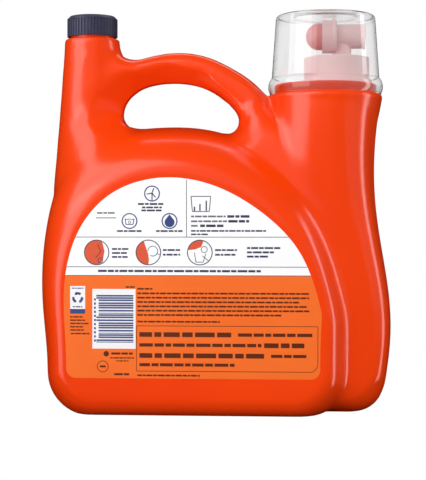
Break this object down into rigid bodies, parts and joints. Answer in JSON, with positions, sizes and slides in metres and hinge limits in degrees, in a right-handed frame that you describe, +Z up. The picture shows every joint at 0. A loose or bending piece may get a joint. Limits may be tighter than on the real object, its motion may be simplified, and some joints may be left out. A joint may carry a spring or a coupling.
{
  "type": "laundry detergent bottle",
  "caption": "Upright jug for liquid laundry detergent with a moulded through-handle, screwed vent cap, press tap on the shoulder and a clear measuring cup turned over the tap.",
  "frame": {"origin": "middle of the base, on the ground", "axes": "+Z up, -Y out of the labelled face, +X along the bottle from the vent cap towards the tap"},
  "size_m": [0.2661, 0.1242, 0.3012],
  "materials": {
    "bottle_plastic": "glossy orange HDPE",
    "label_film": "printed film, satin",
    "vent_cap_plastic": "satin navy polypropylene",
    "liner_foam": "foam polyethylene",
    "gasket_rubber": "matte",
    "tap_plastic": "satin pale polypropylene",
    "button_elastomer": "satin red elastomer",
    "plunger_plastic": "satin polypropylene",
    "cup_plastic": "clear polypropylene"
  },
  "bodies": {
    "bottle": {"bottle_front": "bottle_plastic", "bottle_back": "bottle_plastic", "bottle_deck": "bottle_plastic", "bottle_vent_neck": "bottle_plastic", "back_label": "label_film", "tap_gasket": "gasket_rubber", "tap_collar": "tap_plastic", "tap_body": "tap_plastic"},
    "vent_cap_liner": {"vent_cap_liner": "liner_foam"},
    "vent_cap": {"vent_cap": "vent_cap_plastic"},
    "tap_button": {"tap_button": "button_elastomer", "tap_plunger": "plunger_plastic"},
    "measuring_cup": {"measuring_cup": "cup_plastic"}
  },
  "joints": [
    {"name": "vent_cap_rise", "type": "slide", "parent": "bottle", "child": "vent_cap_liner", "axis": [0, 0, 1], "range_m": [0, 0.0061]},
    {"name": "vent_cap_turn", "type": "hinge", "parent": "vent_cap_liner", "child": "vent_cap", "pos_m": [-0.0962, 0, 0.2854], "axis": [0, 0, 1], "range_deg": [0, 540]},
    {"name": "tap_press", "type": "slide", "parent": "bottle", "child": "tap_button", "axis": [1, 0, 0], "range_m": [0, 0.0045], "stiffness_N_per_m": 1500},
    {"name": "measuring_cup_lift", "type": "slide", "parent": "bottle", "child": "measuring_cup", "axis": [0, 0, 1], "range_m": [0, 0.075]}
  ],
  "couplings": [
    {"joint": "vent_cap_rise", "follows": "vent_cap_turn", "m_per_rad": 0.000637}
  ]
}
